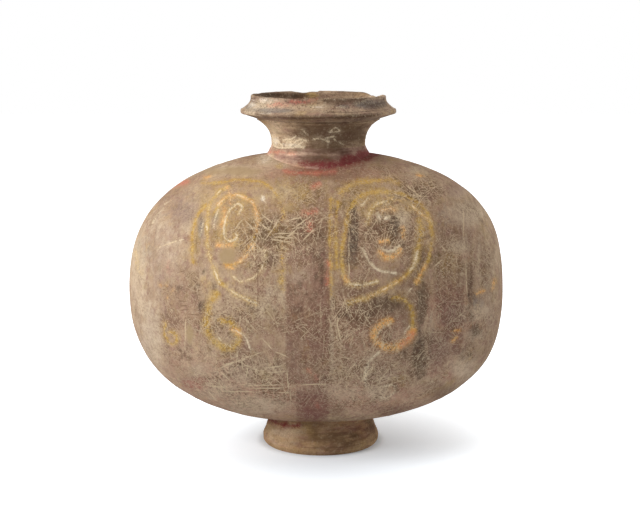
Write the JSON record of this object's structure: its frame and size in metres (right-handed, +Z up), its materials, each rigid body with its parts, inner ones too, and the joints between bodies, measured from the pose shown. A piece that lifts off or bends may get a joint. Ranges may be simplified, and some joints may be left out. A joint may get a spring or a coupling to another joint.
{
  "type": "cocoon jar",
  "caption": "Earthenware jar with an egg-shaped body lying on its side, a flared neck with a flanged mouth rim and a splayed foot ring; holds and pours wine or grain.",
  "frame": {"origin": "on the table under the middle of the body, at the bottom of the foot ring", "axes": "+Z up through the mouth, +X along the body's long axis to the right in the front view, -Y towards the viewer"},
  "size_m": [0.32, 0.236, 0.3035],
  "materials": {
    "body_clay": "unglazed low-fired clay, cold-painted, worn and root-marked, matte",
    "neck_clay": "unglazed clay with turning lines, matte",
    "rim_clay": "unglazed clay with worn pigment, matte",
    "foot_clay": "unglazed brown clay with turning lines, matte",
    "seam_slip": "fired luting slip, matte",
    "red_pigment": "clay with worn crimson pigment, matte"
  },
  "bodies": {
    "root": {"left_body_half": "body_clay", "right_body_half": "body_clay", "body_seam_slip": "seam_slip", "neck": "neck_clay", "neck_seam_slip": "seam_slip", "neck_luting_coil": "red_pigment", "mouth_rim": "rim_clay", "rim_seam_slip": "seam_slip", "foot_ring": "foot_clay", "foot_seam_slip": "seam_slip"}
  },
  "joints": []
}
